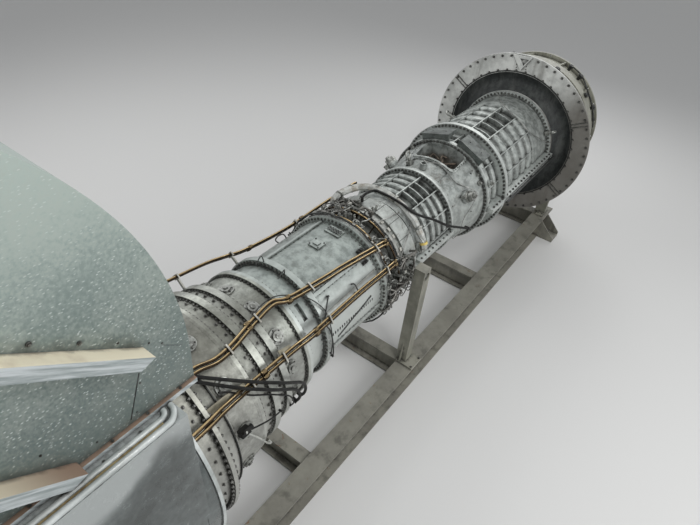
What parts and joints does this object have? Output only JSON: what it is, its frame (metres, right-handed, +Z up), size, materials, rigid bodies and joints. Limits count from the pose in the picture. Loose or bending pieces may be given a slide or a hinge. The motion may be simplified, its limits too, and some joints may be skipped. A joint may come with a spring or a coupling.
{
  "type": "gas turbine",
  "caption": "Two-spool gas turbine on its base frame, with a ring plate and inlet housing at one end and a sheet-metal exhaust elbow at the other.",
  "frame": {"origin": "on the floor, at the middle of the four anchor bolts of the base frame", "axes": "+X along the engine towards its inlet, +Y to the left seen from the exhaust, +Z up"},
  "size_m": [9.215, 2.2, 4.5095],
  "materials": {
    "base_paint": "satin",
    "support_paint": "satin",
    "housing_paint": "satin",
    "ring_paint": "satin",
    "seal_rubber": "matte",
    "cast_alloy": "as cast",
    "blade_steel": "satin",
    "bracket_paint": "satin",
    "fitting_steel": "satin",
    "combustor_steel": "satin",
    "turbine_steel": "heat tinted",
    "hood_paint": "gloss",
    "galvanised": "spangled",
    "oxidised_pipe": "oxidised"
  },
  "bodies": {
    "root": {"base_rail_left": "base_paint", "base_rail_right": "base_paint", "base_cross_beams": "base_paint", "anchor_feet": "base_paint", "front_legs": "support_paint", "middle_posts": "support_paint", "exhaust_legs": "support_paint", "inlet_ring": "ring_paint", "ring_gusset": "ring_paint", "inlet_housing": "housing_paint", "inlet_seal": "seal_rubber", "bellmouth": "ring_paint", "nose_bullet": "cast_alloy", "inlet_guide_vanes": "blade_steel", "compressor_front_casing": "cast_alloy", "compressor_middle_casing": "cast_alloy", "intermediate_casing": "cast_alloy", "opening_frame": "cast_alloy", "mounting_brackets": "bracket_paint", "side_canister": "fitting_steel", "compressor_rear_casing": "cast_alloy", "bleed_collar": "cast_alloy", "burner_casing": "fitting_steel", "burner_heads": "fitting_steel", "fuel_ring_front": "oxidised_pipe", "fuel_ring_rear": "oxidised_pipe", "combustor_casing": "combustor_steel", "combustor_rails": "combustor_steel", "access_covers": "combustor_steel", "combustor_skirt": "combustor_steel", "turbine_casing_front": "turbine_steel", "turbine_casing_middle": "turbine_steel", "turbine_casing_rear": "turbine_steel", "exit_cone": "turbine_steel", "inspection_bosses": "fitting_steel", "side_rails": "fitting_steel", "exhaust_front_wall": "hood_paint", "exhaust_shell": "hood_paint", "exhaust_rear_wall": "hood_paint", "exhaust_tail_cone": "turbine_steel", "exhaust_front_bead": "hood_paint", "duct_side_left": "galvanised", "duct_side_right": "galvanised", "duct_front_wall": "galvanised", "duct_rear_wall": "galvanised", "duct_stiffeners": "galvanised", "outlet_flange": "galvanised", "pipe_pair_top": "oxidised_pipe", "pipe_pair_side": "oxidised_pipe", "pipe_pair_far": "oxidised_pipe", "bleed_pipe": "cast_alloy", "pipe_clamps": "fitting_steel"}
  },
  "joints": []
}
